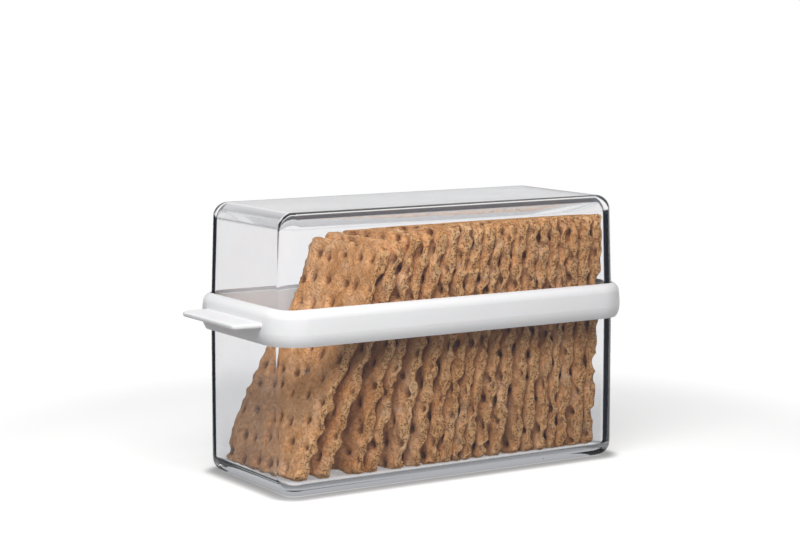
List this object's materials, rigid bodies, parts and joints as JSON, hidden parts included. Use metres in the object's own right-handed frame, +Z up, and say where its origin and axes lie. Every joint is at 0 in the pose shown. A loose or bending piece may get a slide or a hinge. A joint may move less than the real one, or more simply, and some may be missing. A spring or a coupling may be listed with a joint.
{
  "type": "crispbread container",
  "caption": "Tall rectangular crispbread keeper: clear base box and clear lift-off cover joined by a white collar with a side pull tab, holding a row of leaning crispbreads.",
  "frame": {"origin": "centre of the base box's flat underside", "axes": "+X along the long side, away from the pull tab; -Y towards the long side that the crispbreads stand nearest; +Z up"},
  "size_m": [0.226, 0.0964, 0.1383],
  "materials": {
    "clear_plastic": "clear gloss",
    "white_plastic": "satin",
    "crispbread": "baked crumb"
  },
  "bodies": {
    "base": {"base_box": "clear_plastic", "crispbread_01": "crispbread", "crispbread_02": "crispbread", "crispbread_03": "crispbread", "crispbread_04": "crispbread", "crispbread_05": "crispbread", "crispbread_06": "crispbread", "crispbread_07": "crispbread", "crispbread_08": "crispbread", "crispbread_09": "crispbread", "crispbread_10": "crispbread", "crispbread_11": "crispbread", "crispbread_12": "crispbread", "crispbread_13": "crispbread", "crispbread_14": "crispbread", "crispbread_15": "crispbread", "crispbread_16": "crispbread", "crispbread_17": "crispbread", "crispbread_18": "crispbread", "crispbread_19": "crispbread"},
    "collar": {"collar": "white_plastic"},
    "cover": {"cover": "clear_plastic"}
  },
  "joints": [
    {"name": "collar_lift", "type": "slide", "parent": "base", "child": "collar", "axis": [0, 0, 1], "range_m": [0, 0.062]},
    {"name": "cover_lift", "type": "slide", "parent": "collar", "child": "cover", "axis": [0, 0, 1], "range_m": [0, 0.052]}
  ]
}
